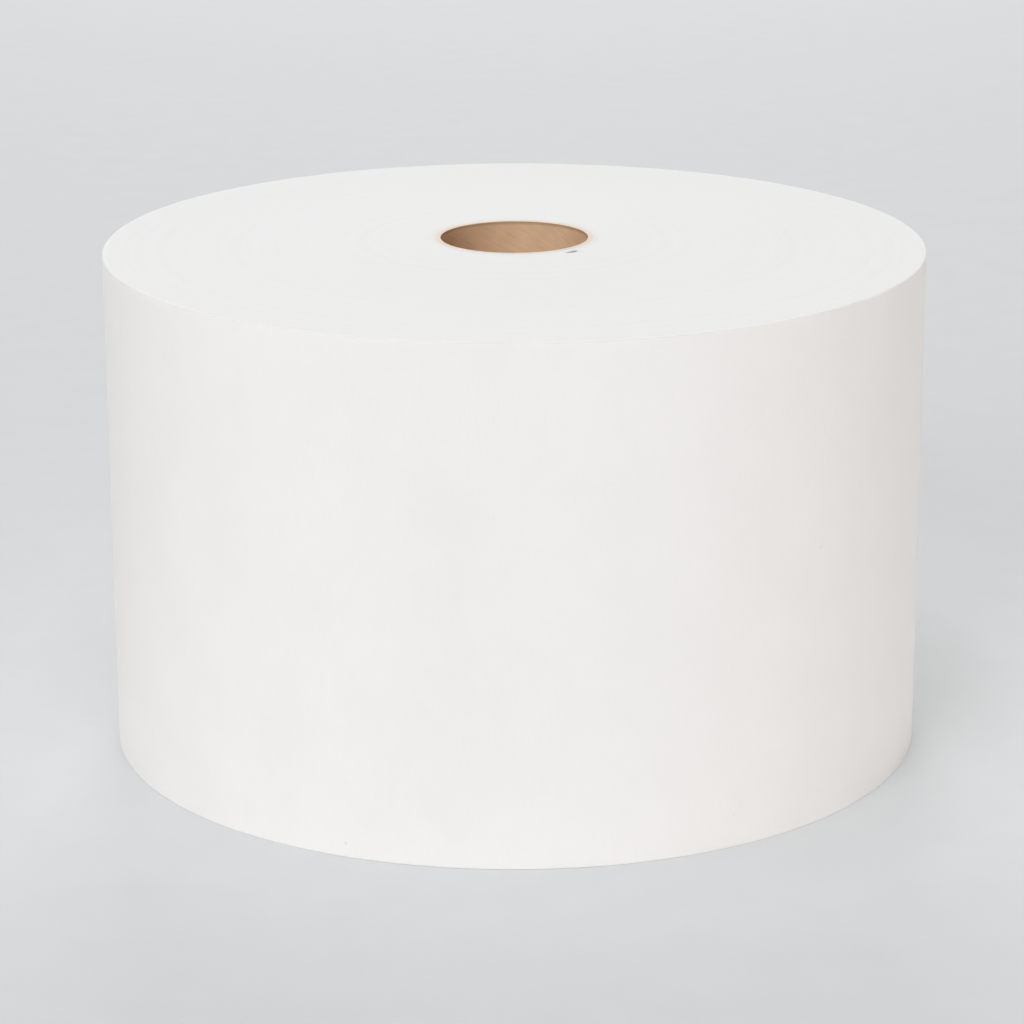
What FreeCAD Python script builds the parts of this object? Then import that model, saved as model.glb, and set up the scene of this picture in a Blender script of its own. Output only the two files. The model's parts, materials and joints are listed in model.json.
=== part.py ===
"""A wide roll of white wiping paper on a cardboard core, standing on its end.

The frame is in millimetres: +Z runs up the roll's axis, and the origin is at the centre of the
end that the roll stands on. The free end of the web, its tail, is on the +Y side.
The roll is one web, wound round a glued cardboard tube. The last turn, the way the first turn
leaves the core, and the shape of the two ends are what make it a wound roll and not a drum.
"""

import FreeCAD
import Part
import Sketcher
import math
import os

# Driving sizes: alias, value, and what it is on the roll.
SIZES = (
    ("roll_diameter", 390.0, "across the last turn, at the tail"),
    ("web_width", 240.0, "width of the web, and so the roll's height"),
    ("web_thickness", 0.21, "one turn of two-ply web, as wound"),
    ("tail_angle", 72.0, "degrees from +X to the free end of the web"),
    ("core_bore", 70.0, "inside diameter of the core tube"),
    ("core_wall", 2.5, "thickness of the core's wound kraft plies"),
    ("start_angle", 128.0, "degrees from +X to the web's first edge on the core"),
    ("telescope", 3.2, "how far the turns at the core have slid up past the outer ones"),
    ("flat_band", 60.0, "outer band of turns that are still level with each other"),
    ("top_rounding", 0.8, "radius of the soft top rim"),
    ("base_rounding", 0.6, "radius of the rim that the floor presses"),
    ("rim_overrun", 0.3, "how far a rim's arc runs on past the side of the roll"),
    ("crease_offset", 3.8, "from the core to the slack turns round the crease"),
    ("crease_angle", -50.0, "degrees from +X to the crease"),
    ("crease_length", 7.5, "of the slit between the slack turns"),
    ("crease_gap", 1.7, "widest opening of that slit"),
    ("end_trim", 2.0, "waste that each end cut takes off the wound log"),
)
VALUE = {alias: value for alias, value, _ in SIZES}

ORIGIN = (-1, 1)  # a sketch's own origin, as geometry and point
START, END, CENTRE = 1, 2, 3  # a sketch element's points


def add_sheet(doc):
    """The spreadsheet that every size comes from."""
    sheet = doc.addObject("Spreadsheet::Sheet", "sizes")
    for row, (alias, value, meaning) in enumerate(SIZES, start=1):
        sheet.set(f"A{row}", alias)
        sheet.set(f"B{row}", str(value))
        sheet.set(f"C{row}", meaning)
        sheet.setAlias(f"B{row}", alias)
    doc.recompute()


def add_body(doc, label):
    body = doc.addObject("PartDesign::Body", label)
    body.Label = label
    return body


def add_sketch(body, name, plane_role):
    """A sketch on one of the body's own origin planes."""
    planes = {plane.Role: plane for plane in body.Origin.OriginFeatures}
    sketch = body.newObject("Sketcher::SketchObject", name)
    sketch.AttachmentSupport = [(planes[plane_role], "")]
    sketch.MapMode = "FlatFace"
    return sketch


def size(sketch, name, expression, *constraint):
    """Adds a named dimension and ties it to the sheet."""
    index = sketch.addConstraint(Sketcher.Constraint(*constraint))
    sketch.renameConstraint(index, name)
    sketch.setExpression(f"Constraints.{name}", expression)


def tie(sketch, *constraint):
    sketch.addConstraint(Sketcher.Constraint(*constraint))


def polar(radius, degrees):
    angle = math.radians(degrees)
    return FreeCAD.Vector(radius * math.cos(angle), radius * math.sin(angle), 0)


def arc(centre, radius, first_degrees, last_degrees):
    """An arc that runs anticlockwise between two angles."""
    circle = Part.Circle(centre, FreeCAD.Vector(0, 0, 1), radius)
    return Part.ArcOfCircle(circle, math.radians(first_degrees), math.radians(last_degrees))


def add_ray(sketch, name, radius, radius_expression, degrees):
    """A construction line from the axis out to a radius, at one of the sheet's angles."""
    line = Part.LineSegment(FreeCAD.Vector(0, 0, 0), polar(radius, degrees))
    ray = sketch.addGeometry(line, True)
    tie(sketch, "Coincident", ray, START, *ORIGIN)
    reach = math.radians(degrees)
    size(sketch, f"{name}_angle", f"sizes.{name}_angle", "Angle", ray, reach)
    size(sketch, f"{name}_reach", radius_expression, "Distance", ray, radius)
    return ray


def draw_last_turn(sketch):
    """The outside of the last turn: a spiral of two half circles, and the step at the tail.

    The radius falls by one web thickness in a turn, so each half circle loses half of that.
    Their centres lie on the tail's ray, a quarter of the thickness each side of the axis.
    """
    outer = VALUE["roll_diameter"] / 2
    web = VALUE["web_thickness"]
    angle = VALUE["tail_angle"]
    ray = add_ray(sketch, "tail", outer, "sizes.roll_diameter / 2", angle)
    first = sketch.addGeometry(arc(polar(web / 4, angle), outer - web / 4, angle, angle + 180))
    second = sketch.addGeometry(
        arc(polar(-web / 4, angle), outer - web * 3 / 4, angle + 180, angle + 360)
    )
    step = sketch.addGeometry(
        Part.LineSegment(polar(outer - web, angle), polar(outer, angle))
    )
    for half in (first, second):
        tie(sketch, "PointOnObject", half, CENTRE, ray)
    tie(sketch, "PointOnObject", first, END, ray)
    tie(sketch, "Coincident", first, END, second, START)
    tie(sketch, "Coincident", second, END, step, START)
    tie(sketch, "Coincident", step, END, first, START)
    tie(sketch, "Coincident", step, END, ray, END)
    tie(sketch, "PointOnObject", step, START, ray)
    size(sketch, "tail_step", "sizes.web_thickness", "Distance", step, web)
    size(
        sketch,
        "first_half",
        "sizes.roll_diameter / 2 - sizes.web_thickness / 4",
        "Radius",
        first,
        outer - web / 4,
    )


def draw_first_turn(sketch):
    """The inside of the first turn: it lies on the core and then climbs over its own first edge.

    It leaves the core along a tangent, which keeps a thin wedge of air beside the edge.
    """
    seat = VALUE["core_bore"] / 2 + VALUE["core_wall"]
    web = VALUE["web_thickness"]
    angle = VALUE["start_angle"]
    climb = math.degrees(math.acos(seat / (seat + web)))
    seat_size = "sizes.core_bore / 2 + sizes.core_wall"
    ray = add_ray(sketch, "start", seat + web, f"{seat_size} + sizes.web_thickness", angle)
    on_core = sketch.addGeometry(
        arc(FreeCAD.Vector(0, 0, 0), seat, angle + climb, angle + 360)
    )
    edge = sketch.addGeometry(Part.LineSegment(polar(seat, angle), polar(seat + web, angle)))
    ramp = sketch.addGeometry(
        Part.LineSegment(polar(seat + web, angle), polar(seat, angle + climb))
    )
    tie(sketch, "Coincident", on_core, CENTRE, *ORIGIN)
    size(sketch, "core_seat", seat_size, "Radius", on_core, seat)
    tie(sketch, "Coincident", edge, START, on_core, END)
    tie(sketch, "PointOnObject", edge, START, ray)
    tie(sketch, "Coincident", edge, END, ray, END)
    tie(sketch, "Coincident", edge, END, ramp, START)
    tie(sketch, "Tangent", ramp, END, on_core, START)


def draw_crease(sketch):
    """The slit beside the core, where a few slack turns have buckled away from the next ones."""
    inner = VALUE["core_bore"] / 2 + VALUE["core_wall"] + VALUE["crease_offset"]
    outer = inner + VALUE["crease_gap"]
    angle = VALUE["crease_angle"]
    half_chord = VALUE["crease_length"] / 2
    half_angle = math.degrees(math.asin(half_chord / inner))
    chord_height = inner * math.cos(math.radians(half_angle))
    rise = outer - chord_height
    bulge = (half_chord**2 + rise**2) / (2 * rise)
    bulge_half_angle = math.degrees(math.atan2(half_chord, bulge - rise))
    inner_size = "sizes.core_bore / 2 + sizes.core_wall + sizes.crease_offset"
    ray = add_ray(sketch, "crease", outer, f"{inner_size} + sizes.crease_gap", angle)
    flat_side = sketch.addGeometry(
        arc(FreeCAD.Vector(0, 0, 0), inner, angle - half_angle, angle + half_angle)
    )
    buckled_side = sketch.addGeometry(
        arc(
            polar(outer - bulge, angle),
            bulge,
            angle - bulge_half_angle,
            angle + bulge_half_angle,
        )
    )
    tie(sketch, "Coincident", flat_side, CENTRE, *ORIGIN)
    size(sketch, "crease_radius", inner_size, "Radius", flat_side, inner)
    tie(sketch, "Coincident", flat_side, START, buckled_side, START)
    tie(sketch, "Coincident", flat_side, END, buckled_side, END)
    tie(sketch, "PointOnObject", buckled_side, CENTRE, ray)
    tie(sketch, "PointOnObject", ray, END, buckled_side)
    size(
        sketch,
        "crease_chord",
        "sizes.crease_length",
        "Distance",
        flat_side,
        START,
        flat_side,
        END,
        VALUE["crease_length"],
    )


def draw_end_cut(sketch, level, level_size, outward, rounding_name):
    """The waste that one end cut takes off, as a region turned about the roll's axis.

    From the side of the roll inwards its edge is the rim's quarter circle, the flat band, and a
    shallow slope that rises to the core because the turns have telescoped. Both ends rise the
    same way, since the web has one width. outward is 1 for the top end and -1 for the base.
    """
    outer = VALUE["roll_diameter"] / 2 + VALUE["rim_overrun"]
    bore = VALUE["core_bore"] / 2
    band = VALUE["roll_diameter"] / 2 - VALUE["flat_band"]
    hub = level + VALUE["telescope"]
    rounding = VALUE[rounding_name]
    reach = VALUE["telescope"] + VALUE["end_trim"]
    reach_size = "sizes.telescope + sizes.end_trim"
    far_level = level + outward * reach

    def line(x1, y1, x2, y2):
        segment = Part.LineSegment(FreeCAD.Vector(x1, y1, 0), FreeCAD.Vector(x2, y2, 0))
        return sketch.addGeometry(segment)

    def across(name, expression, element, point, value):
        size(sketch, name, expression, "DistanceX", *ORIGIN, element, point, value)

    slope = line(bore, hub, band, level)
    flat = line(band, level, outer - rounding, level)
    rim_centre = FreeCAD.Vector(outer - rounding, level - outward * rounding, 0)
    if outward > 0:
        quarter, rim_inner, rim_outer = arc(rim_centre, rounding, 0, 90), END, START
    else:
        quarter, rim_inner, rim_outer = arc(rim_centre, rounding, 270, 360), START, END
    rim = sketch.addGeometry(quarter)
    side = line(outer, level - outward * rounding, outer, far_level)
    far = line(outer, far_level, bore, far_level)
    inside = line(bore, far_level, bore, hub)

    tie(sketch, "Coincident", slope, END, flat, START)
    tie(sketch, "Horizontal", flat)
    tie(sketch, "Tangent", flat, END, rim, rim_inner)
    tie(sketch, "Tangent", rim, rim_outer, side, START)
    tie(sketch, "Vertical", side)
    tie(sketch, "Coincident", side, END, far, START)
    tie(sketch, "Horizontal", far)
    tie(sketch, "Coincident", far, END, inside, START)
    tie(sketch, "Vertical", inside)
    tie(sketch, "Coincident", inside, END, slope, START)
    size(sketch, "rim", f"sizes.{rounding_name}", "Radius", rim, rounding)
    across("bore", "sizes.core_bore / 2", slope, START, bore)
    across("band", "sizes.roll_diameter / 2 - sizes.flat_band", flat, START, band)
    across("overrun", "sizes.roll_diameter / 2 + sizes.rim_overrun", side, END, outer)
    size(
        sketch, "rise", "sizes.telescope", "DistanceY", slope, END, slope, START, hub - level
    )
    if outward > 0:
        size(sketch, "level", level_size, "DistanceY", *ORIGIN, flat, START, level)
        size(sketch, "waste", reach_size, "DistanceY", flat, START, far, START, reach)
    else:
        tie(sketch, "PointOnObject", flat, START, -1)
        size(sketch, "waste", reach_size, "DistanceY", far, START, flat, START, reach)


def add_groove(body, name, sketch):
    """Turns a sketch about the roll's axis and takes it off the body."""
    before = body.Tip.Shape.Volume
    groove = body.newObject("PartDesign::Groove", name)
    groove.Profile = sketch
    groove.ReferenceAxis = (sketch, ["V_Axis"])
    groove.Angle = 360
    sketch.Visibility = False
    body.Document.recompute()
    removed = before - body.Tip.Shape.Volume
    if removed <= 0:
        raise RuntimeError(f"{name} cuts nothing")
    print(f"{name}: takes off {removed / 1000:.1f} cm3")


def build_wound_paper(doc):
    """The web: the log is wound and stands long at both ends, and each end is then cut."""
    body = add_body(doc, "wound_paper")
    section = add_sketch(body, "web_section", "XY_Plane")
    section.AttachmentOffset = FreeCAD.Placement(
        FreeCAD.Vector(0, 0, -VALUE["end_trim"]), FreeCAD.Rotation()
    )
    section.setExpression("AttachmentOffset.Base.z", "-sizes.end_trim")
    draw_last_turn(section)
    draw_first_turn(section)
    draw_crease(section)
    doc.recompute()
    log = body.newObject("PartDesign::Pad", "wound_log")
    log.Profile = section
    log.setExpression("Length", "sizes.web_width + sizes.telescope + 2 * sizes.end_trim")
    section.Visibility = False
    doc.recompute()

    top = add_sketch(body, "top_cut_profile", "XZ_Plane")
    draw_end_cut(top, VALUE["web_width"], "sizes.web_width", 1, "top_rounding")
    doc.recompute()
    add_groove(body, "top_cut", top)

    base = add_sketch(body, "base_cut_profile", "XZ_Plane")
    draw_end_cut(base, 0.0, None, -1, "base_rounding")
    doc.recompute()
    add_groove(body, "base_cut", base)
    return body


def build_core_tube(doc):
    """The core: a glued kraft tube, cut with the web and slid up with the turns on it."""
    body = add_body(doc, "core_tube")
    body.setExpression("Placement.Base.z", "sizes.telescope")
    ring = add_sketch(body, "tube_section", "XY_Plane")
    radii = (
        ("bore", "sizes.core_bore / 2", VALUE["core_bore"] / 2),
        (
            "outside",
            "sizes.core_bore / 2 + sizes.core_wall",
            VALUE["core_bore"] / 2 + VALUE["core_wall"],
        ),
    )
    for name, expression, radius in radii:
        circle = Part.Circle(FreeCAD.Vector(0, 0, 0), FreeCAD.Vector(0, 0, 1), radius)
        edge = ring.addGeometry(circle)
        tie(ring, "Coincident", edge, CENTRE, *ORIGIN)
        size(ring, name, expression, "Radius", edge, radius)
    doc.recompute()
    tube = body.newObject("PartDesign::Pad", "tube")
    tube.Profile = ring
    tube.setExpression("Length", "sizes.web_width")
    ring.Visibility = False
    doc.recompute()
    return body


def check_document(doc):
    """Stops if any object failed to compute or a sketch is loose."""
    for item in doc.Objects:
        if {"Invalid", "Error"} & set(item.State):
            raise RuntimeError(f"{item.Name} failed: {item.State}")
        if item.TypeId == "Sketcher::SketchObject":
            if item.solve() != 0 or not item.FullyConstrained:
                raise RuntimeError(f"{item.Name} is not fully constrained")


def export(bodies):
    os.makedirs("parts", exist_ok=True)
    for body in bodies:
        shape = body.Shape
        if shape.isNull() or not shape.isValid() or len(shape.Solids) != 1:
            raise RuntimeError(f"{body.Label} is not one valid solid")
        box = shape.BoundBox
        shape.exportStep(f"parts/{body.Label}.step")
        print(
            f"{body.Label}: {shape.Volume / 1000:.1f} cm3, "
            f"x {box.XMin:.2f} to {box.XMax:.2f}, y {box.YMin:.2f} to {box.YMax:.2f}, "
            f"z {box.ZMin:.2f} to {box.ZMax:.2f}"
        )


def main():
    doc = FreeCAD.newDocument("paper_roll")
    add_sheet(doc)
    bodies = [build_wound_paper(doc), build_core_tube(doc)]
    doc.recompute()
    check_document(doc)
    export(bodies)


main()
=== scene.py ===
# %% [markdown]
# # A roll of wiping paper on a kraft core
# The roll stands on its end on a pale studio floor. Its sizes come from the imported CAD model,
# which is loaded first and stays as it is. Two finer skins stand in for the two CAD solids: one
# for the wound web and one for the glued core.

# %% Load the frame
import json
import math
import bpy
import numpy as np
from mathutils import Matrix, Vector


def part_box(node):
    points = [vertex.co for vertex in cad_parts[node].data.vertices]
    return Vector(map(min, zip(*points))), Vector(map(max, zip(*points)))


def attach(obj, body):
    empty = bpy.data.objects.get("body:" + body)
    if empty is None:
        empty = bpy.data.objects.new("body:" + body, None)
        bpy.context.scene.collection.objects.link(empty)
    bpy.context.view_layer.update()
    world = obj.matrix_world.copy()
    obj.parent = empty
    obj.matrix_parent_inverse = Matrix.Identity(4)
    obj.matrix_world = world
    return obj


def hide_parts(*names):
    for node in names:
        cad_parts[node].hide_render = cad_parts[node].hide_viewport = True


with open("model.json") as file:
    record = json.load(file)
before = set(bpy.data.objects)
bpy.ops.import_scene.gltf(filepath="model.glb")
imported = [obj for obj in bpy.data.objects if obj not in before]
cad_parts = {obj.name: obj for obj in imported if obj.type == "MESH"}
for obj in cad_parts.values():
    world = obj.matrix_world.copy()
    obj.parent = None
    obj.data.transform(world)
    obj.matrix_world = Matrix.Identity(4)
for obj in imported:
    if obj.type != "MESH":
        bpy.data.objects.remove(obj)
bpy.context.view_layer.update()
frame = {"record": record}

# %% [markdown]
# ## The sizes that everything follows
# A roll has few sizes: the web's width, how far it is wound out, and the core it is wound on.
# All of them can be read from the frame. The CAD solids are cut into flat facets, so the
# furthest corner of a facet is the best reading of a radius.

# %% Sizes from the frame
MM = 0.001
paper_low, paper_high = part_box("wound_paper")
core_low, core_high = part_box("core_tube")
mounts = {mount["name"]: mount for mount in frame["record"]["mounts"]}

outer = max(paper_high.x, paper_high.y, -paper_low.x, -paper_low.y)
seat = core_high.x
bore = mounts["core_bore"]["dims"]["r_mm"] * MM
width = core_high.z - core_low.z
telescope = core_low.z
print(f"outer {outer / MM:.1f}, seat {seat / MM:.1f}, bore {bore / MM:.1f} mm")
print(f"web width {width / MM:.1f} mm")

# %% [markdown]
# ## The way the roll was wound and cut
# These are the same named sizes as in the CAD source: one turn of web, the place of the tail,
# the slit where slack turns buckled beside the core, and the soft rims of the two ends.
# A web is wound outwards, so the tail lies on top of the turn before it.

# %% Sizes of the winding
WEB = 0.21 * MM
TAIL_ANGLE = math.radians(72)
TAIL_SHEET = 52 * MM  # length of web from the free edge that lies loose on the turn below
FLAT_BAND = 60 * MM
TOP_ROUNDING = 0.8 * MM
BASE_ROUNDING = 0.6 * MM
CREASE_ANGLE = math.radians(-50)
CREASE_RADIUS = seat + 3.8 * MM
CREASE_LENGTH = 7.5 * MM
CREASE_GAP = 1.7 * MM
print(f"about {(outer - seat) / WEB:.0f} turns of web")

# %% [markdown]
# ## Smooth random lines
# Wound paper is never quite true: bands across the web are wound harder than others, and
# the turns sit a little high or low. A sum of a few cosines with seeded phases gives such a line
# without a texture, and it is the same on each run. Round the roll the waves have to close on
# themselves, so there they are whole numbers of waves in a turn.

# %% Ripple helpers
def ripples(position, shortest, longest, seed, count=14):
    """The mean of cosines of the position, with wavelengths in even ratios and random phases."""
    phases = np.random.default_rng(seed).uniform(0, 2 * np.pi, count)
    lengths = np.geomspace(shortest, longest, count)
    waves = np.cos(2 * np.pi * np.asarray(position)[..., None] / lengths + phases)
    return waves.mean(axis=-1)


def round_ripples(angle, lowest, highest, seed):
    """The mean of cosines of whole multiples of the angle, with random phases."""
    counts = np.arange(lowest, highest + 1)
    phases = np.random.default_rng(seed).uniform(0, 2 * np.pi, len(counts))
    return np.cos(np.asarray(angle)[..., None] * counts + phases).mean(axis=-1)


def crowd(start, stop, count, focus, reach, pull):
    """Positions from start to stop that stand closer together about a focus.

    The density is 1 plus pull times a bell curve; its running sum is inverted.
    """
    fine = np.linspace(start, stop, 4000)
    density = 1 + pull * np.exp(-(((fine - focus) / reach) ** 2))
    total = np.concatenate([[0], np.cumsum((density[1:] + density[:-1]) / 2)])
    return np.interp(np.linspace(0, total[-1], count), total, fine)


print("widest ripple:", round(float(abs(ripples(np.linspace(0, 1, 500), 0.01, 0.2, 1)).max()), 2))

# %% [markdown]
# ## Making a mesh from a grid of points
# Both skins are rings: a closed outline is carried round the axis, so the grid has no edge and
# no pole. The rows follow the outline and the columns go round. Quads join each point to the
# next row and the next column, in the order that turns every face outwards.

# %% Grid helper
SHARP_ANGLE = math.radians(40)


def ring_mesh(name, x, y, z, row_slots):
    """Joins a grid that closes both ways into quads, one material slot for each row of faces."""
    rows, columns = x.shape
    index = np.arange(rows * columns).reshape(rows, columns)
    above = np.roll(index, -1, axis=0)
    corners = (index, np.roll(index, -1, axis=1), np.roll(above, -1, axis=1), above)
    return new_mesh(name, (x, y, z), np.stack(corners, axis=-1), row_slots)


def sheet_mesh(name, x, y, z, row_slots):
    """The same for a grid with four free edges."""
    rows, columns = x.shape
    index = np.arange(rows * columns).reshape(rows, columns)
    corners = (index[:-1, :-1], index[:-1, 1:], index[1:, 1:], index[1:, :-1])
    return new_mesh(name, (x, y, z), np.stack(corners, axis=-1), row_slots)


def new_mesh(name, xyz, quads, row_slots):
    """A smooth mesh, creased where two faces meet at a sharp angle, on a new object."""
    points = np.stack(xyz, axis=-1).reshape(-1, 3)
    slots = np.repeat(np.asarray(row_slots), quads.shape[1])
    quads = quads.reshape(-1, 4)
    mesh = bpy.data.meshes.new(name)
    mesh.vertices.add(len(points))
    mesh.vertices.foreach_set("co", points.ravel())
    mesh.loops.add(quads.size)
    mesh.loops.foreach_set("vertex_index", quads.ravel())
    mesh.polygons.add(len(quads))
    mesh.polygons.foreach_set("loop_start", np.arange(0, quads.size, 4))
    mesh.polygons.foreach_set("material_index", slots)
    mesh.polygons.foreach_set("use_smooth", np.ones(len(quads), bool))
    mesh.update(calc_edges=True)
    mesh.validate()
    mesh.set_sharp_from_angle(angle=SHARP_ANGLE)
    piece = bpy.data.objects.new(name, mesh)
    bpy.context.collection.objects.link(piece)
    print(f"{name}: {2 * len(quads)} triangles")
    return piece


# %% [markdown]
# ## The outline of the wound web
# Cut the roll along its axis and the web's section is a long block: a base, a soft rim, a
# straight side, a soft rim, the top, and the inner wall on the core. The turns near the core have
# slid up a little, so both ends rise towards the core. In the CAD solid that rise is a plain
# slope; here a hyperbola rounds the corner where the slope starts, which is how slid turns look.

# %% The outline
SIDE, CUT_END, SEAT = 0, 1, 2  # the web's material slots
END_ROWS, RIM_ROWS, SIDE_ROWS, SEAT_ROWS = 86, 9, 62, 3
SLIT_REACH, SLIT_PULL = 1.6 * MM, 12  # how far from the slit the rows crowd, and how much
SLOPE_SOFTNESS = 0.12  # of the slope's own length


def rise(radius):
    """How high the turns at a radius stand: a hyperbola from the level band to the slope."""
    along = (outer - FLAT_BAND - radius) / (outer - FLAT_BAND - bore)
    bent = along + np.hypot(along, SLOPE_SOFTNESS)
    return telescope * bent / (1 + np.hypot(1, SLOPE_SOFTNESS))


def web_outline():
    """Radius, height and slot of the outline's rows, up the outside and down the inside."""
    focus = CREASE_RADIUS + CREASE_GAP / 2
    crowding = (END_ROWS, focus, SLIT_REACH, SLIT_PULL)
    base_radii = crowd(seat, outer - BASE_ROUNDING, *crowding)
    top_radii = crowd(seat, outer - TOP_ROUNDING, *crowding)[::-1]
    turn = np.linspace(0, np.pi / 2, RIM_ROWS + 2)[1:-1]
    side = np.linspace(BASE_ROUNDING, width - TOP_ROUNDING, SIDE_ROWS)
    inner = np.linspace(width + rise(seat), rise(seat), SEAT_ROWS + 2)[1:-1]
    radius = (
        base_radii,
        outer - BASE_ROUNDING * (1 - np.sin(turn)),
        np.full(SIDE_ROWS, outer),
        outer - TOP_ROUNDING * (1 - np.cos(turn)),
        top_radii,
        np.full(SEAT_ROWS, seat),
    )
    height = (
        rise(base_radii),
        BASE_ROUNDING * (1 - np.cos(turn)),
        side,
        width - TOP_ROUNDING * (1 - np.sin(turn)),
        width + rise(top_radii),
        inner,
    )
    slots = (CUT_END, SIDE, SIDE, SIDE, CUT_END, SEAT)
    rows = [np.full(len(part), slot) for part, slot in zip(radius, slots)]
    return np.concatenate(radius), np.concatenate(height), np.concatenate(rows)


row_radius, row_height, row_slot = web_outline()
print(f"{len(row_radius)} rows, up to {row_height.max() / MM:.2f} mm")

# %% [markdown]
# ## The turns
# The outline could simply be spun, and the result would be a drum. What makes it a roll is that
# the radius falls by one web as the outline goes once round, with a step at the end of
# the last turn. Every turn below follows, in proportion to its radius. On the two cut ends the
# turns stand a few hundredths of a millimetre high or low, in rings, as the saw left them.

# %% Columns and relief
COLUMNS = 360
COLUMN_REACH, COLUMN_PULL = math.radians(6), 9  # how the columns crowd at the slit
OUT_OF_ROUND = 0.35 * MM
HARD_BANDS = 0.10 * MM
RING_RELIEF = 0.04 * MM
SLOW_RELIEF = 0.20 * MM
RELIEF_FADE = 20 * MM
SLIT_DEPTH = 9 * MM
SLIT_LIP = 0.12 * MM  # how far across the slit's edge is rounded over
# The next two are shares of painted shade: a grey band along the rims that damps their highlight,
# and a grey spot round the slit in place of its shade.
RIM_PAINTED_SHADE = 0.16
SLIT_PAINTED_SHADE = 0.4
SPOT_REACH = 1.5 * MM
STEP_SLOPE = math.radians(0.03)  # keeps the step's two sides apart where it dies out

step_angle = TAIL_ANGLE + TAIL_SHEET / outer
angles = crowd(
    step_angle,
    step_angle + 2 * np.pi - STEP_SLOPE,
    COLUMNS,
    CREASE_ANGLE + 2 * np.pi,
    COLUMN_REACH,
    COLUMN_PULL,
)


def out_of_round(angle):
    """How far the roll has sunk at an angle: a few slow waves, closed round the turn."""
    return OUT_OF_ROUND * (0.5 - 0.5 * round_ripples(angle, 2, 7, 11))


def hard_bands(height):
    """How far the side has sunk at a height, where the web was wound softer."""
    return HARD_BANDS * (0.5 - 0.5 * ripples(height, 14 * MM, 90 * MM, 12))


def along_slit(angle):
    """Distance from the slit's middle, round the roll: -1 and 1 are its two ends."""
    turn = (angle - CREASE_ANGLE + np.pi) % (2 * np.pi) - np.pi
    return CREASE_RADIUS * turn / (CREASE_LENGTH / 2)


def slit(radius, angle):
    """1 inside the crease and 0 outside it.

    The slit's inner side is a circle about the axis. Its outer side bulges away from that circle
    as a parabola of the distance along the slit.
    """
    gap = CREASE_GAP * np.clip(1 - along_slit(angle) ** 2, 0, None)
    above, below = radius - CREASE_RADIUS, CREASE_RADIUS + gap - radius
    inside = np.minimum(above, below) / SLIT_LIP
    return np.clip(inside, 0, 1)


def relief(radius, angle, seed):
    """How far a cut end lies below its highest: fine rings, a slow swell, and the slit.

    The rings and the swell fade out towards the rim, so that no lip is left standing there.
    """
    rings = 0.5 - 0.5 * ripples(radius, 2.2 * MM, 24 * MM, seed)
    swell = 0.5 - 0.5 * round_ripples(angle, 1, 6, seed + 1)
    level_share = np.clip((radius - seat) / (outer - seat), 0, 1)
    inset = np.clip((outer - radius) / RELIEF_FADE, 0, 1)
    fade = inset * inset * (3 - 2 * inset)
    uneven = RING_RELIEF * rings + SLOW_RELIEF * swell * level_share
    return fade * uneven + SLIT_DEPTH * slit(radius, angle)


def wound_web():
    """The web's skin.

    Radius = the outline's radius, less the share of it that the spiral and the wobble take.
    Height = the outline's height, less the relief on top or plus it under the base.
    """
    radius, height = row_radius[:, None], row_height[:, None]
    slots = row_slot[:, None]
    share = (radius - seat) / (outer - seat)
    turned = (angles - step_angle) / (2 * np.pi)
    sunk = out_of_round(angles) + hard_bands(height) * (slots == SIDE)
    true_radius = radius - share * (WEB * turned + sunk)
    on_top = (slots == CUT_END) & (height > width / 2)
    on_base = (slots == CUT_END) & (height < width / 2)
    lowered = on_top * relief(radius, angles, 21) - on_base * 0.5 * relief(radius, angles, 31)
    z = np.broadcast_to(height, true_radius.shape) - lowered
    return ring_mesh(
        "wound_web",
        true_radius * np.cos(angles),
        true_radius * np.sin(angles),
        np.maximum(z, 0),
        row_slot,
    )


def painted_shade():
    """How much painted shade each point of the web gets: a grey band along the two rims that
    damps their highlight, and a soft grey spot round the slit that stands in for its shade.

    The rim's share is a half sine from one edge of the rounding to the other. The spot is a bell
    curve across the slit, cut off where the slit ends.
    """
    radius, height = row_radius[:, None], row_height[:, None]
    edge = np.minimum(height / BASE_ROUNDING, (width - height) / TOP_ROUNDING)
    on_rim = (row_slot[:, None] == SIDE) & (edge < 1)
    rim = on_rim * RIM_PAINTED_SHADE * np.sin(np.pi * np.clip(edge, 0, 1))
    across = (radius - CREASE_RADIUS - 0.5 * CREASE_GAP) / SPOT_REACH
    spot = SLIT_PAINTED_SHADE * np.exp(-(across**2) - along_slit(angles) ** 4) * (height > width / 2)
    return (rim + spot).ravel()


web = wound_web()
# The web carries its painted shade as a point attribute: grey along the rims and round the slit.
shade_paint = web.data.attributes.new("painted_shade", "FLOAT", "POINT")
shade_paint.data.foreach_set("value", painted_shade())
print(f"greyest point of the web: {painted_shade().max():.2f}")

# %% [markdown]
# ## The tail
# The last piece of the web lies on the turn below it, and its free edge lifts a
# little, more in some places than in others. It is a sheet of its own with the web's
# thickness, made as a grid of length by width and thickened by a modifier. It runs on past the
# step where the last turn begins, as a skin two hundredths of a millimetre proud of the roll,
# and then sinks into it so slowly that no second edge shows.

# %% The free end of the web
TAIL_LIFT = 1.1 * MM
TAIL_OVERLAP = 25 * MM
TAIL_PROUD = 0.02 * MM
TAIL_SUNK = 0.06 * MM
RAMP_START = 0.3  # the share of the overlap that stays proud
LIFT_REACH = 9 * MM
EDGE_WAVER, WAVER_REACH = 0.5 * MM, 6 * MM  # how far the cut edge wanders, and dies away


def tail_rows():
    """Heights across the tail's width, closer together where it follows the two rims."""
    foot = np.linspace(0.6 * BASE_ROUNDING, 1.2 * BASE_ROUNDING, 4)
    head = width - np.linspace(1.2 * TOP_ROUNDING, 0.4 * TOP_ROUNDING, 5)
    return np.concatenate([foot, np.linspace(2 * MM, width - 2 * MM, 112), head])


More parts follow.
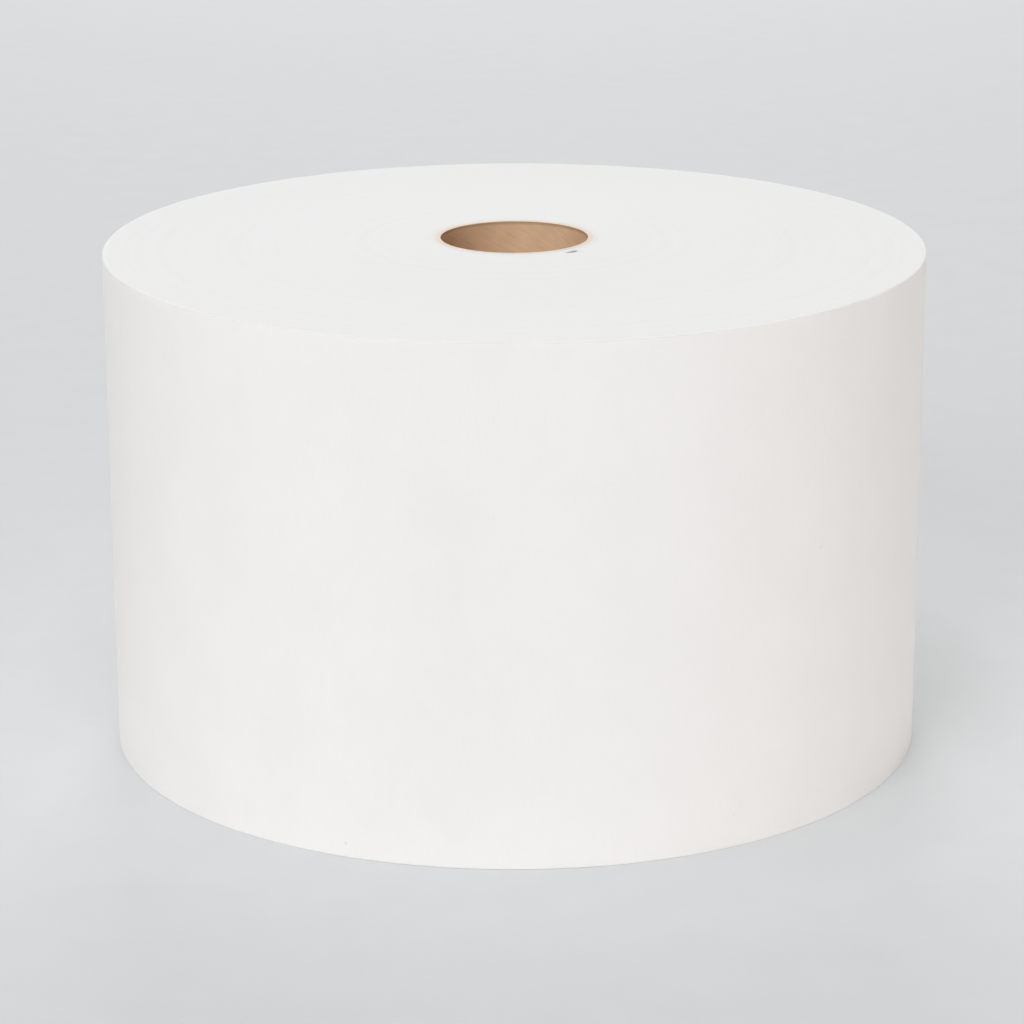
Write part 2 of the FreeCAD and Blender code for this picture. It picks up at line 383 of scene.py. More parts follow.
def web_tail():
    """Radius = the turn below + a lift that dies away exponentially from the free edge.

    Past the step the lift is gone, and a straight ramp takes the sheet from proud to sunk.
    """
    across = tail_rows()[:, None]
    along = np.linspace(0, TAIL_SHEET + TAIL_OVERLAP, 50)[None, :]
    uneven = 0.55 + 0.45 * ripples(across, 25 * MM, 140 * MM, 41)
    lift = TAIL_LIFT * uneven * np.exp(-along / LIFT_REACH)
    past_step = (along - TAIL_SHEET) / TAIL_OVERLAP
    ramp = np.clip(past_step - RAMP_START, 0, 1 - RAMP_START) / (1 - RAMP_START)
    proud = TAIL_PROUD - (TAIL_PROUD + TAIL_SUNK) * ramp
    edge_line = EDGE_WAVER * ripples(across, 6 * MM, 80 * MM, 42)
    angle = TAIL_ANGLE + (along + edge_line * np.exp(-along / WAVER_REACH)) / outer
    rim = np.clip((across - (width - TOP_ROUNDING)) / TOP_ROUNDING, 0, 1)
    foot = np.clip((BASE_ROUNDING - across) / BASE_ROUNDING, 0, 1)
    curl = TOP_ROUNDING * (1 - np.sqrt(1 - rim**2))
    curl = curl + BASE_ROUNDING * (1 - np.sqrt(1 - foot**2))
    sunk = out_of_round(angle) + hard_bands(across)
    radius = outer - WEB - sunk + lift + proud - curl
    return sheet_mesh(
        "web_tail",
        radius * np.cos(angle),
        radius * np.sin(angle),
        across + 0 * angle,
        np.full(len(across) - 1, SIDE),
    )


tail = web_tail()
thickness = tail.modifiers.new("web thickness", "SOLIDIFY")
thickness.thickness = WEB
thickness.offset = 1

# %% [markdown]
# ## The core
# A core is wound from six strips of kraft board, each a little wider than the step that it
# climbs in a turn, so the inner strip's two edges meet in a seam that runs up the bore as a
# helix. The wall is a closed outline again: up the bore, over the cut end, down the outside.
# The seam is a shallow groove with one lifted lip, placed by its distance from the helix.

# %% The core tube
PLY_COUNT = 6
PLY_WIDTH = 100 * MM
SEAM_DEPTH = 0.22 * MM
SEAM_WIDTH = 1.1 * MM
CORNER = 0.12 * MM  # how far the cut ends drop at their two edges
PLY_DIP = 0.07 * MM  # and between two plies
BORE_ROWS, EDGE_ROWS, BACK_ROWS, CORE_COLUMNS = 260, 25, 6, 260
WALL, EDGE = 0, 1  # the core's material slots

seam_climb = PLY_WIDTH / math.sqrt(1 - (PLY_WIDTH / (2 * np.pi * bore)) ** 2)
seam_start = math.radians(-150)


def seam_distance(angle, height):
    """Signed distance along the axis from the nearest turn of the seam's helix."""
    phase = height / seam_climb - (angle - seam_start) / (2 * np.pi)
    return ((phase + 0.5) % 1.0 - 0.5) * seam_climb


def kraft_core():
    """Radius = the bore's, more in the seam's groove and less on its lip.

    The cut ends dip where one ply meets the next: a cosine with one wave to a ply, sharpened.
    """
    bore_height = np.linspace(2 * CORNER, width - 2 * CORNER, BORE_ROWS)
    wall = np.linspace(0, 1, EDGE_ROWS)
    between = np.abs(np.cos(np.pi * wall * PLY_COUNT)) ** 6
    ply_dip = PLY_DIP * between * np.sin(np.pi * wall)
    corner = CORNER * (np.abs(2 * wall - 1) ** 16)
    edge_drop = ply_dip + corner
    edge_radius = bore + (seat - bore) * wall
    radius = np.concatenate(
        [np.full(BORE_ROWS, bore), edge_radius, np.full(BACK_ROWS, seat), edge_radius[::-1]]
    )
    height = np.concatenate(
        [
            bore_height,
            width - edge_drop,
            np.linspace(width - 1 * MM, 1 * MM, BACK_ROWS),
            edge_drop[::-1],
        ]
    )
    slots = np.repeat([WALL, EDGE, WALL, EDGE], [BORE_ROWS, EDGE_ROWS, BACK_ROWS, EDGE_ROWS])
    angle = -np.linspace(0, 2 * np.pi, CORE_COLUMNS, endpoint=False)
    radius, height = radius[:, None], height[:, None]
    off_seam = seam_distance(angle, height)
    groove = SEAM_DEPTH * np.exp(-((off_seam / SEAM_WIDTH) ** 2))
    lip = 0.4 * SEAM_DEPTH * np.exp(-(((off_seam - 2.2 * SEAM_WIDTH) / SEAM_WIDTH) ** 2))
    in_bore = (np.arange(len(radius)) < BORE_ROWS)[:, None]
    true_radius = radius + in_bore * (groove - lip)
    z = telescope + height + 0 * angle
    return ring_mesh(
        "kraft_core", true_radius * np.cos(angle), true_radius * np.sin(angle), z, slots
    )


core = kraft_core()
print(f"the seam climbs {seam_climb / MM:.0f} mm a turn")

# %% [markdown]
# ## Writing materials
# Colours are written as the sRGB hex value that a painter would pick, and turned to the linear
# values that the renderer wants. One helper adds a node, sets its properties, and fills its
# inputs with numbers or with another node's output.

# %% Colour and node helpers
def linear(hex_colour):
    """sRGB to linear: a straight line near black and a power of 2.4 above it."""
    channels = [int(hex_colour[i : i + 2], 16) / 255 for i in (1, 3, 5)]
    light = [c / 12.92 if c < 0.04045 else ((c + 0.055) / 1.055) ** 2.4 for c in channels]
    return (*light, 1.0)


def add(tree, kind, inputs=(), **settings):
    """A new node; inputs maps a socket's name or number to a value or to an output socket."""
    node = tree.nodes.new(kind)
    for name, value in settings.items():
        setattr(node, name, value)
    for key, value in dict(inputs).items():
        if isinstance(value, bpy.types.NodeSocket):
            tree.links.new(value, node.inputs[key])
        else:
            node.inputs[key].default_value = value
    return node


def new_material(name, inputs):
    """A material with one Principled shader; returns the material, its tree and the shader."""
    material = bpy.data.materials.new(name)
    material.use_nodes = True
    tree = material.node_tree
    tree.nodes.clear()
    shader = add(tree, "ShaderNodeBsdfPrincipled", inputs)
    add(tree, "ShaderNodeOutputMaterial", {"Surface": shader.outputs["BSDF"]})
    return material, tree, shader


def per_metre(size):
    """A texture's scale is its number of features in a metre."""
    return 1.0 / size


print("paper white in linear light:", [round(c, 3) for c in linear("#F1EFEC")[:3]])

# %% [markdown]
# ## The outside of the web: creped two-ply tissue
# Tissue is scraped off its drying cylinder with a blade, which leaves fine ridges across the
# web. On a standing roll they run up and down, about a quarter of a millimetre apart, so
# they are drawn near a millimetre to show at all. The pulp is partly recycled: here and
# there a grey fleck is left. The sheet is matt and very slightly furry, so light soaks in and
# the grazing edge stays bright.

# %% Tissue material
FLECK_CELL = 30 * MM
FLECK_SIZE = 0.9 * MM
CLOUD_SIZE = 38 * MM
CREPE_PITCH, CREPE_DEPTH = 0.9 * MM, 0.14 * MM
QUILT_SIZE, QUILT_DEPTH = 26 * MM, 0.2 * MM
RIDGE_STRETCH = (1.0, 1.0, 0.12)  # a ridge is about eight times as tall as it is wide


def with_painted_shade(tree, clean):
    """The clean colour, greyed by the painted shade that the web's own attribute carries."""
    shade_paint = add(tree, "ShaderNodeAttribute", attribute_name="painted_shade").outputs["Fac"]
    return add(
        tree,
        "ShaderNodeMix",
        {"Factor": shade_paint, "A": clean, "B": linear("#A9A8A6")},
        data_type="RGBA",
    ).outputs[2]


def fleck_mask(tree, place):
    """1 on a fleck: the nearest of some scattered points is closer than a fleck's size."""
    wander = add(tree, "ShaderNodeTexNoise", {"Vector": place, "Scale": per_metre(1.2 * MM)})
    nudge = add(
        tree,
        "ShaderNodeVectorMath",
        {0: wander.outputs["Color"], "Scale": 0.5 * MM},
        operation="SCALE",
    )
    moved = add(
        tree, "ShaderNodeVectorMath", {0: place, 1: nudge.outputs[0]}, operation="ADD"
    )
    cells = add(
        tree,
        "ShaderNodeTexVoronoi",
        {"Vector": moved.outputs[0], "Scale": per_metre(FLECK_CELL), "Randomness": 1.0},
    )
    return add(
        tree,
        "ShaderNodeMapRange",
        {
            "Value": cells.outputs["Distance"],
            "From Min": FLECK_SIZE / FLECK_CELL,
            "From Max": 0.35 * FLECK_SIZE / FLECK_CELL,
            "To Min": 0.0,
            "To Max": 1.0,
        },
        interpolation_type="SMOOTHSTEP",
    ).outputs["Result"]


def tissue():
    """Cloudy white, with crepe ridges, a soft quilt of loose web, and flecks."""
    material, tree, shader = new_material(
        "creped_two_ply_tissue",
        {
            "Roughness": 0.92,
            "IOR": 1.47,
            "Specular IOR Level": 0.25,
            "Sheen Weight": 0.12,
            "Sheen Roughness": 0.6,
        },
    )
    place = add(tree, "ShaderNodeTexCoord").outputs["Object"]
    clouds = add(
        tree,
        "ShaderNodeTexNoise",
        {"Vector": place, "Scale": per_metre(CLOUD_SIZE), "Detail": 4.0, "Roughness": 0.55},
    )
    shade = add(tree, "ShaderNodeValToRGB", {"Fac": clouds.outputs["Fac"]})
    shade.color_ramp.elements[0].position = 0.3
    shade.color_ramp.elements[0].color = linear("#EFEEEC")
    shade.color_ramp.elements[1].position = 0.7
    shade.color_ramp.elements[1].color = linear("#F1F0EE")
    flecked = add(
        tree,
        "ShaderNodeMix",
        {
            "Factor": fleck_mask(tree, place),
            "A": shade.outputs["Color"],
            "B": linear("#E5E2DD"),
        },
        data_type="RGBA",
    ).outputs[2]
    # The base colour takes the painted shade along the rims, which damps their highlight.
    tree.links.new(with_painted_shade(tree, flecked), shader.inputs["Base Color"])

    upright = add(tree, "ShaderNodeMapping", {"Vector": place, "Scale": RIDGE_STRETCH})
    crepe = add(
        tree,
        "ShaderNodeTexNoise",
        {"Vector": upright.outputs["Vector"], "Scale": per_metre(CREPE_PITCH), "Detail": 3.0},
    )
    quilt = add(
        tree,
        "ShaderNodeTexNoise",
        {"Vector": place, "Scale": per_metre(QUILT_SIZE), "Detail": 2.0},
    )
    slow = add(
        tree,
        "ShaderNodeBump",
        {"Height": quilt.outputs["Fac"], "Distance": QUILT_DEPTH, "Strength": 0.3},
    )
    fine = add(
        tree,
        "ShaderNodeBump",
        {
            "Height": crepe.outputs["Fac"],
            "Distance": CREPE_DEPTH,
            "Strength": 0.8,
            "Normal": slow.outputs["Normal"],
        },
    )
    tree.links.new(fine.outputs["Normal"], shader.inputs["Normal"])
    return material


tissue_side = tissue()
print("made", tissue_side.name)

# %% [markdown]
# ## The cut ends: hundreds of edges of the web
# A log saw cuts the finished roll to length. Its end shows the edge of every turn, a fifth of a
# millimetre apart, which is too fine to draw, so the lines here are a few turns apart. They
# follow a real spiral: the wave's phase grows by one turn in each turn. Harder and softer
# bands of winding show as rings, and the saw leaves faint arcs that cross them.
# Beside the core the first turns have picked up a little brown from the kraft and its glue.

# %% Cut-end material
LINE_PITCH = 1.1 * MM
SAW_CENTRE = (-0.34, 0.31, 0.0)  # where the blade's axis passed, beside the roll
CORE_STAIN = 4 * MM
BAND_WIDTH, BAND_DEPTH = 5 * MM, 0.06 * MM
ARC_PITCH, ARC_DEPTH = 1.6 * MM, 0.05 * MM
FLUFF_SIZE, FLUFF_DEPTH = 0.8 * MM, 0.1 * MM
LINE_DEPTH = 0.012 * MM


def cut_end():
    """Spiral lines, rings of harder winding, saw arcs, and the stain beside the core."""
    material, tree, shader = new_material(
        "saw_cut_end_of_wound_tissue",
        {
            "Roughness": 0.95,
            "IOR": 1.47,
            "Specular IOR Level": 0.2,
            "Sheen Weight": 0.1,
            "Sheen Roughness": 0.7,
        },
    )
    place = add(tree, "ShaderNodeTexCoord").outputs["Object"]
    flat = add(
        tree, "ShaderNodeVectorMath", {0: place, 1: (1.0, 1.0, 0.0)}, operation="MULTIPLY"
    ).outputs[0]
    radius = add(tree, "ShaderNodeVectorMath", {0: flat}, operation="LENGTH").outputs["Value"]
    parts = add(tree, "ShaderNodeSeparateXYZ", {0: place})
    angle = add(
        tree,
        "ShaderNodeMath",
        {0: parts.outputs["Y"], 1: parts.outputs["X"]},
        operation="ARCTAN2",
    ).outputs[0]
    phase = add(
        tree,
        "ShaderNodeMath",
        {0: radius, 1: 2 * math.pi / LINE_PITCH, 2: angle},
        operation="MULTIPLY_ADD",
    ).outputs[0]
    lines = add(tree, "ShaderNodeMath", {0: phase}, operation="SINE").outputs[0]

    bands = add(
        tree,
        "ShaderNodeTexNoise",
        {"W": radius, "Scale": per_metre(BAND_WIDTH), "Detail": 3.0, "Roughness": 0.6},
        noise_dimensions="1D",
    ).outputs["Fac"]
    from_saw = add(
        tree, "ShaderNodeVectorMath", {0: flat, 1: SAW_CENTRE}, operation="DISTANCE"
    ).outputs["Value"]
    arcs = add(
        tree,
        "ShaderNodeTexNoise",
        {"W": from_saw, "Scale": per_metre(ARC_PITCH), "Detail": 2.0},
        noise_dimensions="1D",
    ).outputs["Fac"]
    fluff = add(
        tree,
        "ShaderNodeTexNoise",
        {"Vector": place, "Scale": per_metre(FLUFF_SIZE), "Detail": 3.0, "Roughness": 0.6},
    ).outputs["Fac"]

    ring_shade = add(tree, "ShaderNodeValToRGB", {"Fac": bands})
    ring_shade.color_ramp.elements[0].position = 0.25
    ring_shade.color_ramp.elements[0].color = linear("#EFEFEE")
    ring_shade.color_ramp.elements[1].position = 0.75
    ring_shade.color_ramp.elements[1].color = linear("#F1F1F0")
    stain = add(
        tree,
        "ShaderNodeMapRange",
        {
            "Value": radius,
            "From Min": seat,
            "From Max": seat + CORE_STAIN,
            "To Min": 0.2,
            "To Max": 0.0,
        },
        interpolation_type="SMOOTHSTEP",
    ).outputs["Result"]
    colour = add(
        tree,
        "ShaderNodeMix",
        {"Factor": stain, "A": ring_shade.outputs["Color"], "B": linear("#D9C4B0")},
        data_type="RGBA",
    )
    # The base colour takes the painted shade round the slit, a grey spot in place of the gap's
    # shadow.
    tree.links.new(with_painted_shade(tree, colour.outputs[2]), shader.inputs["Base Color"])

    normal = None
    for height, distance in (
        (bands, BAND_DEPTH),
        (arcs, ARC_DEPTH),
        (lines, LINE_DEPTH),
        (fluff, FLUFF_DEPTH),
    ):
        inputs = {"Height": height, "Distance": distance, "Strength": 0.6}
        if normal:
            inputs["Normal"] = normal
        normal = add(tree, "ShaderNodeBump", inputs).outputs["Normal"]
    tree.links.new(normal, shader.inputs["Normal"])
    return material


tissue_end = cut_end()
print("made", tissue_end.name)

# %% [markdown]
# ## The core: spiral-wound kraft board
# Kraft board is brown, unbleached pulp. Its fibres lie along the strip, so they follow the seam
# up the bore and not the tube's axis. It is smoother than the tissue and has a faint sheen where
# the winding mandrel polished it. The seam is darker, because glue fills it and light
# doesn't reach in. A band along each lip is painted darker too: painted shade under the lip.

# %% Kraft materials
FIBRE_STRETCH = 0.09  # a fibre is about eleven times as long as it is wide
FIBRE_WIDTH, FIBRE_DEPTH = 1.4 * MM, 0.08 * MM  # drawn coarser than real pulp, to show
MOTTLE_SIZE = 9 * MM
TORN_SIZE, TORN_DEPTH = 0.5 * MM, 0.12 * MM
LIP_SHADE_BAND = 2.2 * MM  # how far down the bore the painted shade under the lip reaches


def strip_place(tree, place):
    """Where a point lies on the inner strip of board: along it, across it, and off its seam.

    The turn count is height over climb, less the angle's share of a turn. Its whole part says
    which turn of the strip this is, and its fraction how far across the strip.
    """
    parts = add(tree, "ShaderNodeSeparateXYZ", {0: place})
    angle = add(
        tree,
        "ShaderNodeMath",
        {0: parts.outputs["Y"], 1: parts.outputs["X"]},
        operation="ARCTAN2",
    ).outputs[0]
    first = seam_start / (2 * math.pi) - telescope / seam_climb
    risen = add(
        tree,
        "ShaderNodeMath",
        {0: parts.outputs["Z"], 1: 1 / seam_climb, 2: first},
        operation="MULTIPLY_ADD",
    ).outputs[0]
    turns = add(
        tree,
        "ShaderNodeMath",
        {0: angle, 1: -1 / (2 * math.pi), 2: risen},
        operation="MULTIPLY_ADD",
    ).outputs[0]
    whole = add(tree, "ShaderNodeMath", {0: turns}, operation="FLOOR").outputs[0]
    unrolled = add(
        tree,
        "ShaderNodeMath",
        {0: whole, 1: 2 * math.pi, 2: angle},
        operation="MULTIPLY_ADD",
    ).outputs[0]
    along = add(
        tree, "ShaderNodeMath", {0: unrolled, 1: bore}, operation="MULTIPLY"
    ).outputs[0]
    fraction = add(tree, "ShaderNodeMath", {0: turns}, operation="FRACT").outputs[0]
    across = add(
        tree, "ShaderNodeMath", {0: fraction, 1: seam_climb}, operation="MULTIPLY"
    ).outputs[0]
    half_way = add(
        tree, "ShaderNodeMath", {0: turns, 1: 0.5}, operation="PINGPONG"
    ).outputs[0]
    off_seam = add(
        tree, "ShaderNodeMath", {0: half_way, 1: seam_climb}, operation="MULTIPLY"
    ).outputs[0]
    return along, across, off_seam


def kraft_wall():
    """Brown clouds, fibres along the strip, a dark line in the seam, and painted shade along the
    lip.
    """
    material, tree, shader = new_material(
        "spiral_wound_kraft_board",
        {"Roughness": 0.66, "IOR": 1.5, "Specular IOR Level": 0.35},
    )
    place = add(tree, "ShaderNodeTexCoord").outputs["Object"]
    along, across, off_seam = strip_place(tree, place)
    drawn_out = add(
        tree, "ShaderNodeMath", {0: along, 1: FIBRE_STRETCH}, operation="MULTIPLY"
    ).outputs[0]
    strip = add(tree, "ShaderNodeCombineXYZ", {"X": drawn_out, "Y": across}).outputs["Vector"]
    fibres = add(
        tree,
        "ShaderNodeTexNoise",
        {"Vector": strip, "Scale": per_metre(FIBRE_WIDTH), "Detail": 5.0, "Roughness": 0.65},
    ).outputs["Fac"]
    clouds = add(
        tree,
        "ShaderNodeTexNoise",
        {"Vector": place, "Scale": per_metre(MOTTLE_SIZE), "Detail": 3.0},
    ).outputs["Fac"]
    fibre_shade = add(tree, "ShaderNodeValToRGB", {"Fac": fibres})
    fibre_shade.color_ramp.elements[0].position = 0.3
    fibre_shade.color_ramp.elements[0].color = linear("#E7C39E")
    fibre_shade.color_ramp.elements[1].position = 0.7
    fibre_shade.color_ramp.elements[1].color = linear("#F5D8B6")
    cloud_share = add(
        tree,
        "ShaderNodeMapRange",
        {"Value": clouds, "From Min": 0.35, "From Max": 0.7, "To Min": 0.0, "To Max": 0.5},
    ).outputs["Result"]
    clouded = add(
        tree,
        "ShaderNodeMix",
        {"Factor": cloud_share, "A": fibre_shade.outputs["Color"], "B": linear("#E4BF9B")},
        data_type="RGBA",
    ).outputs[2]
    in_seam = add(
        tree,
        "ShaderNodeMapRange",
        {
            "Value": off_seam,
            "From Min": 0.4 * SEAM_WIDTH,
            "From Max": 1.3 * SEAM_WIDTH,
            "To Min": 0.7,
            "To Max": 0.0,
        },
        interpolation_type="SMOOTHSTEP",
    ).outputs["Result"]
    seamed = add(
        tree,
        "ShaderNodeMix",
        {"Factor": in_seam, "A": clouded, "B": linear("#A17C5A")},
        data_type="RGBA",
    ).outputs[2]
    height = add(tree, "ShaderNodeSeparateXYZ", {0: place}).outputs["Z"]
    above_middle = add(
        tree,
        "ShaderNodeMath",
        {0: height, 1: telescope + 0.5 * width},
        operation="SUBTRACT",
    ).outputs[0]
    off_middle = add(
        tree, "ShaderNodeMath", {0: above_middle}, operation="ABSOLUTE"
    ).outputs[0]
    # A darker band is painted along the top and bottom of the bore: painted shade under each lip.
    lip_shade_share = add(
        tree,
        "ShaderNodeMapRange",
        {
            "Value": off_middle,
            "From Min": 0.5 * width - LIP_SHADE_BAND,
            "From Max": 0.5 * width - 0.3 * LIP_SHADE_BAND,
            "To Min": 0.0,
            "To Max": 0.5,
        },
        interpolation_type="SMOOTHSTEP",
    ).outputs["Result"]
    lip_shaded = add(
        tree,
        "ShaderNodeMix",
        {"Factor": lip_shade_share, "A": seamed, "B": linear("#947863")},
        data_type="RGBA",
    ).outputs[2]
    tree.links.new(lip_shaded, shader.inputs["Base Color"])
    bumped = add(
        tree,
        "ShaderNodeBump",
        {"Height": fibres, "Distance": FIBRE_DEPTH, "Strength": 0.7},
    )
    tree.links.new(bumped.outputs["Normal"], shader.inputs["Normal"])
    return material


def kraft_edge():
    """The cut end of the tube: plies and glue lines, roughened by the saw and dusted pale."""
    material, tree, shader = new_material(
        "saw_cut_edge_of_kraft_board",
        {"Roughness": 0.85, "IOR": 1.5, "Specular IOR Level": 0.25},
    )
    place = add(tree, "ShaderNodeTexCoord").outputs["Object"]
    flat = add(
        tree, "ShaderNodeVectorMath", {0: place, 1: (1.0, 1.0, 0.0)}, operation="MULTIPLY"
    ).outputs[0]
    radius = add(tree, "ShaderNodeVectorMath", {0: flat}, operation="LENGTH").outputs["Value"]
    ply = (seat - bore) / PLY_COUNT
    plies = add(
        tree,
        "ShaderNodeMath",
        {0: radius, 1: 1 / ply, 2: -bore / ply},
        operation="MULTIPLY_ADD",
    ).outputs[0]
    off_glue = add(
        tree, "ShaderNodeMath", {0: plies, 1: 0.5}, operation="PINGPONG"
    ).outputs[0]
    glue = add(
        tree,
        "ShaderNodeMapRange",
        {
            "Value": off_glue,
            "From Min": 0.02,
            "From Max": 0.22,
            "To Min": 0.7,
            "To Max": 0.0,
        },
    ).outputs["Result"]
    torn = add(
        tree,
        "ShaderNodeTexNoise",
        {"Vector": place, "Scale": per_metre(TORN_SIZE), "Detail": 4.0, "Roughness": 0.7},
    ).outputs["Fac"]
    fluff = add(tree, "ShaderNodeValToRGB", {"Fac": torn})
    fluff.color_ramp.elements[0].position = 0.3
    fluff.color_ramp.elements[0].color = linear("#E9D9CA")
    fluff.color_ramp.elements[1].position = 0.7
    fluff.color_ramp.elements[1].color = linear("#F3E8DC")
    colour = add(
        tree,
        "ShaderNodeMix",
        {"Factor": glue, "A": fluff.outputs["Color"], "B": linear("#DAC4AE")},
        data_type="RGBA",
    ).outputs[2]
    tree.links.new(colour, shader.inputs["Base Color"])
    bumped = add(
        tree,
        "ShaderNodeBump",
        {"Height": torn, "Distance": TORN_DEPTH, "Strength": 0.8},
    )
    tree.links.new(bumped.outputs["Normal"], shader.inputs["Normal"])
    return material


core_materials = (kraft_wall(), kraft_edge())
print("made", [material.name for material in core_materials])

# %% [markdown]
# ## Putting the finishes on and tying the pieces to the frame
# The slots are filled in the order that the meshes were given: side, cut end and seat for the
# web, wall and edge for the core. Each piece rides on the one body, and the two skins stand in
# for the two CAD solids.

# %% Finishes and bodies
for material in (tissue_side, tissue_end, tissue_side):
    web.data.materials.append(material)
tail.data.materials.append(tissue_side)
for material in core_materials:
    core.data.materials.append(material)

for piece, slot_name in ((web, "wiping_paper"), (tail, "wiping_paper"), (core, "core_board")):
    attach(piece, "root")
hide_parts("wound_paper")
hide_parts("core_tube")

# %% [markdown]
# ## The studio
# A white roll is best seen in light that comes from nearly everywhere, with a little more of it
# from one side. A broad lamp in front on the left gives the form its light side and shines down
# the core. Two more overhead light the cut end. A white floor throws light back up the
# side, and low lamps at the right and behind keep those sides from going dull. All are soft.

# %% Floor and light
FLOOR_GLOW = 0.45  # the glow's share of what is seen of the floor near the roll
NEAR, FAR = 1.0, 5.0  # metres from the roll, where the glow starts to grow and where it ends
FLOOR_RINGS, FLOOR_SPOKES = (0.02, 0.5, 2.0, 8.0, 20.0), 64
BACKDROP = "#D3D4D5"


def studio_floor():
    """A flat disc as a grid of radius by angle, closed round and capped at the middle."""
    rings = np.array(FLOOR_RINGS)[:, None]
    around = -np.linspace(0, 2 * np.pi, FLOOR_SPOKES, endpoint=False)
    flat = 0 * rings * around
    index = np.arange(flat.size).reshape(flat.shape)
    turned = np.roll(index, -1, axis=1)
    quads = np.stack((index[:-1], turned[:-1], turned[1:], index[1:]), axis=-1).reshape(-1, 4)
    points = np.stack((rings * np.cos(around), rings * np.sin(around), flat), axis=-1)
    mesh = bpy.data.meshes.new("studio_floor")
    faces = [tuple(map(int, quad)) for quad in quads] + [tuple(map(int, index[0]))]
    mesh.from_pydata(points.reshape(-1, 3).tolist(), [], faces)
    floor = bpy.data.objects.new("studio_floor", mesh)
    bpy.context.collection.objects.link(floor)
    return floor


def seen_plainly(tree):
    """1 for a ray from the camera, a mirror or a glass, and 0 for light that lights the roll."""
    path = add(tree, "ShaderNodeLightPath").outputs
    mirrored = add(
        tree,
        "ShaderNodeMath",
        {0: path["Is Camera Ray"], 1: path["Is Glossy Ray"]},
        operation="MAXIMUM",
    ).outputs[0]
    return add(
        tree,
        "ShaderNodeMath",
        {0: mirrored, 1: path["Is Transmission Ray"]},
        operation="MAXIMUM",
    ).outputs[0]


def floor_paint():
    """Pale matt studio paint with a slight roller texture.

    White to the light. To the eye it is partly grey paint, which takes the roll's shadow, and
    partly an even glow. The glow's share grows with the distance from the roll, so the far floor
    runs into the backdrop without a line.
    """
    material, tree, shader = new_material(
        "matt_studio_paint",
        {
            "Roughness": 0.9,
            "IOR": 1.5,
            "Specular IOR Level": 0.2,
            "Emission Color": linear(BACKDROP),
        },
    )
    place = add(tree, "ShaderNodeTexCoord").outputs["Object"]
    roller = add(
        tree,
        "ShaderNodeTexNoise",
        {"Vector": place, "Scale": per_metre(30 * MM), "Detail": 3.0},
    )
    shade = add(tree, "ShaderNodeValToRGB", {"Fac": roller.outputs["Fac"]})
    shade.color_ramp.elements[0].color = linear("#A0A1A2")
    shade.color_ramp.elements[1].color = linear("#A7A8A9")
    away = add(tree, "ShaderNodeVectorMath", {0: place}, operation="LENGTH").outputs["Value"]
    far = {"Value": away, "From Min": NEAR, "From Max": FAR}
    share = add(
        tree,
        "ShaderNodeMapRange",
        {**far, "To Min": FLOOR_GLOW, "To Max": 1.0},
        interpolation_type="SMOOTHSTEP",
    ).outputs["Result"]
    fade = add(
        tree,
        "ShaderNodeMapRange",
        {**far, "To Min": 0.0, "To Max": 1.0},
        interpolation_type="SMOOTHSTEP",
    ).outputs["Result"]
    faded = add(
        tree,
        "ShaderNodeMix",
        {"Factor": fade, "A": shade.outputs["Color"], "B": linear("#000000")},
        data_type="RGBA",
    ).outputs[2]
    seen = seen_plainly(tree)
    paint = add(
        tree,
        "ShaderNodeMix",
        {"Factor": seen, "A": linear("#F6F6F6"), "B": faded},
        data_type="RGBA",
    ).outputs[2]
    glow = add(tree, "ShaderNodeMath", {0: seen, 1: share}, operation="MULTIPLY").outputs[0]
    tree.links.new(paint, shader.inputs["Base Color"])
    tree.links.new(glow, shader.inputs["Emission Strength"])
    return material


def lamp(name, azimuth, elevation, distance, size, power, colour):
    """A square area lamp, placed by its angles as seen from the roll and turned to face it.

    The azimuth is 0 in front of the roll and grows towards the right.
    """
    middle = Vector((0.0, 0.0, 0.5 * width))
    turn = Matrix.Rotation(math.radians(azimuth), 4, "Z")
    tilt = Matrix.Rotation(math.radians(90 - elevation), 4, "X")
    light = bpy.data.lights.new(name, "AREA")
    light.shape = "SQUARE"
    light.size = size
    light.energy = power
    light.color = linear(colour)[:3]
    holder = bpy.data.objects.new(name, light)
    holder.matrix_world = (
        Matrix.Translation(middle) @ turn @ tilt @ Matrix.Translation((0.0, 0.0, distance))
    )
    holder.visible_camera = False
    bpy.context.collection.objects.link(holder)


floor = studio_floor()
floor.data.materials.append(floor_paint())

for lamp_row in (
    # name, azimuth, elevation, distance and side in metres, watts, colour
    ("key_softbox", -30, 28, 9.0, 4.2, 305.0, "#FDFDFF"),
    ("overhead_softbox", -60, 84, 9.0, 4.2, 280.0, "#FFFFFF"),
    ("front_overhead_softbox", 0, 65, 9.0, 4.2, 293.0, "#FFFFFF"),
    ("right_low_softbox", 78, 1.5, 5.0, 0.4, 51.0, "#FFF3ED"),
    ("back_softbox", 180, 15, 9.0, 3.0, 378.0, "#FFFFFF"),
):
    lamp(*lamp_row)

# %% [markdown]
# ## The walls of the studio
# The world stands in for pale walls: a bright band low down all round, as from a lit backdrop,
# and next to nothing overhead. The camera sees a plain pale grey instead of that band.

# %% World
WALL_LIGHT = 1.5
BAND_FULL, BAND_GONE = 0.02, 0.12  # sines of the elevations where the band ends


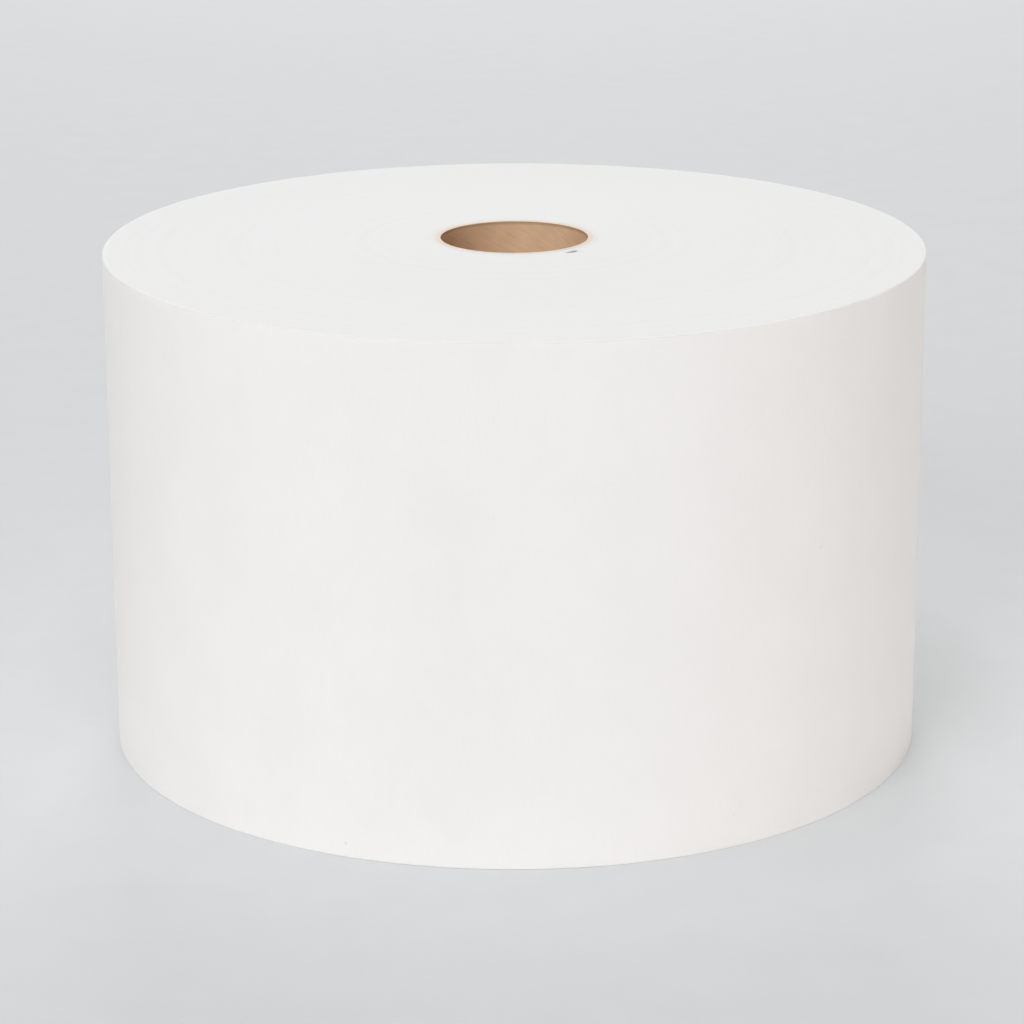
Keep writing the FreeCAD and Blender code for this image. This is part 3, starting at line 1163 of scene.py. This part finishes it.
def studio_walls():
    """Strength falls from a band at the horizon to zero a little above it."""
    world = bpy.data.worlds.new("studio_walls")
    world.use_nodes = True
    tree = world.node_tree
    tree.nodes.clear()
    direction = add(tree, "ShaderNodeTexCoord").outputs["Generated"]
    height = add(tree, "ShaderNodeSeparateXYZ", {0: direction}).outputs["Z"]
    strength = add(
        tree,
        "ShaderNodeMapRange",
        {
            "Value": height,
            "From Min": BAND_FULL,
            "From Max": BAND_GONE,
            "To Min": WALL_LIGHT,
            "To Max": 0.0,
        },
    ).outputs["Result"]
    walls = add(tree, "ShaderNodeBackground", {"Color": linear("#FFFFFF"), "Strength": strength})
    backdrop = add(tree, "ShaderNodeBackground", {"Color": linear(BACKDROP), "Strength": 1.0})
    mixed = add(
        tree,
        "ShaderNodeMixShader",
        {0: seen_plainly(tree), 1: walls.outputs[0], 2: backdrop.outputs[0]},
    )
    add(tree, "ShaderNodeOutputWorld", {"Surface": mixed.outputs[0]})
    return world


bpy.context.scene.world = studio_walls()
print("lamps:", [light.name for light in bpy.data.lights])

# %% [markdown]
# ## The camera
# The roll is looked at from about 17 degrees above, from 1.7 metres away, with a long lens.
# The camera is placed by where it looks, how far off it is, and its angles.

# %% Camera
LOOK_AT = Vector((-0.0015, 0.0, 0.1067))
DISTANCE = 1.7397
DOWN = math.radians(16.767)
ROLL = math.radians(-0.183)
LENS, SENSOR = 125.95, 36.0

camera_data = bpy.data.cameras.new("studio_camera")
camera_data.sensor_width = SENSOR
camera_data.lens = LENS
camera_data.clip_start = 0.05
camera = bpy.data.objects.new("studio_camera", camera_data)
facing = Matrix.Rotation(math.pi / 2 - DOWN, 4, "X") @ Matrix.Rotation(ROLL, 4, "Z")
back_off = Vector((0.0, -math.cos(DOWN), math.sin(DOWN))) * DISTANCE
camera.matrix_world = Matrix.Translation(LOOK_AT + back_off) @ facing
bpy.context.collection.objects.link(camera)
bpy.context.scene.camera = camera

# %% [markdown]
# The standard view shows a colour as it is written.

# %% Finish
bpy.context.scene.view_settings.view_transform = "Standard"
